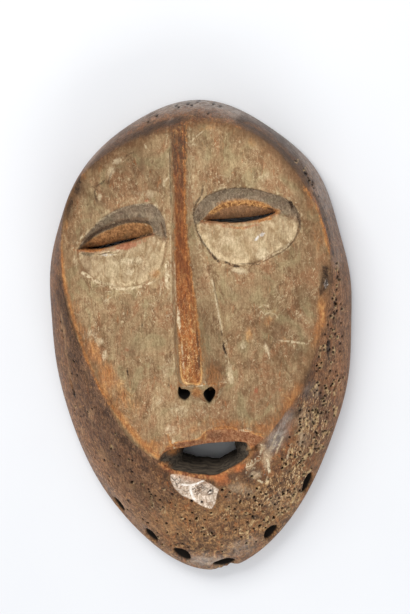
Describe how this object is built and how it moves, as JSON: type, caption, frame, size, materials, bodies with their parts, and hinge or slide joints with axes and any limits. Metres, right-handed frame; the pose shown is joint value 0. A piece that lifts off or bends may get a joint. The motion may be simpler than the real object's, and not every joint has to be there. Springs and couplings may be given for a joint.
{
  "type": "carved wooden face mask",
  "caption": "Oval face mask carved from one block of wood, with a domed front, hollow back, flat rim, slit eyes, long ridge nose and open mouth.",
  "frame": {"origin": "middle of the back rim's outline box, on the surface the mask lies on", "axes": "+Z out of the face, +Y to the forehead, +X to the right of someone who looks at the face"},
  "size_m": [0.151, 0.2384, 0.0561],
  "materials": {
    "wood": "hand-polished dark brown wood with a worn, matt, pale kaolin coat on the face plane"
  },
  "bodies": {
    "root": {"mask": "wood"}
  },
  "joints": []
}
